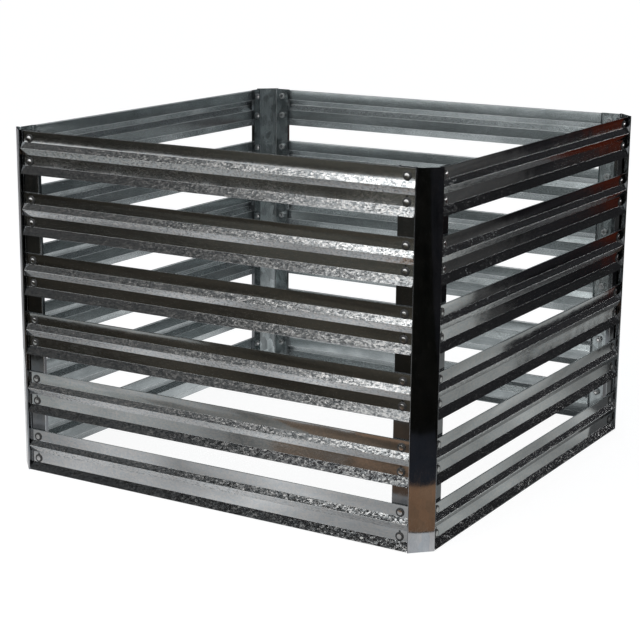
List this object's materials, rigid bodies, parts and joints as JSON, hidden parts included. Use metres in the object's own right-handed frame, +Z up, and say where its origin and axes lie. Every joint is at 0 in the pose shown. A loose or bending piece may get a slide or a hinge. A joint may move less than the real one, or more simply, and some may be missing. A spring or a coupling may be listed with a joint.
{
  "type": "metal compost bin",
  "caption": "Square open-topped compost bin of ribbed galvanised sheet-steel slats bolted to folded corner posts, with air gaps between the slats.",
  "frame": {"origin": "middle of the bin's footprint, on the ground under its posts", "axes": "+Z up, the front slats face -Y, the right slats face +X"},
  "size_m": [0.998, 0.998, 0.732],
  "materials": {
    "slat_zinc": "hot-dip galvanised with a visible spangle, smooth and reflective",
    "post_zinc": "galvanised, smooth, near mirror bright",
    "fastener_zinc": "bright zinc plated"
  },
  "bodies": {
    "root": {"front_slat_1": "slat_zinc", "front_slat_2": "slat_zinc", "front_slat_3": "slat_zinc", "front_slat_4": "slat_zinc", "front_slat_5": "slat_zinc", "front_slat_6": "slat_zinc", "right_slat_1": "slat_zinc", "right_slat_2": "slat_zinc", "right_slat_3": "slat_zinc", "right_slat_4": "slat_zinc", "right_slat_5": "slat_zinc", "right_slat_6": "slat_zinc", "back_slat_1": "slat_zinc", "back_slat_2": "slat_zinc", "back_slat_3": "slat_zinc", "back_slat_4": "slat_zinc", "back_slat_5": "slat_zinc", "back_slat_6": "slat_zinc", "left_slat_1": "slat_zinc", "left_slat_2": "slat_zinc", "left_slat_3": "slat_zinc", "left_slat_4": "slat_zinc", "left_slat_5": "slat_zinc", "left_slat_6": "slat_zinc", "front_right_post": "post_zinc", "back_right_post": "post_zinc", "back_left_post": "post_zinc", "front_left_post": "post_zinc"}
  },
  "joints": []
}
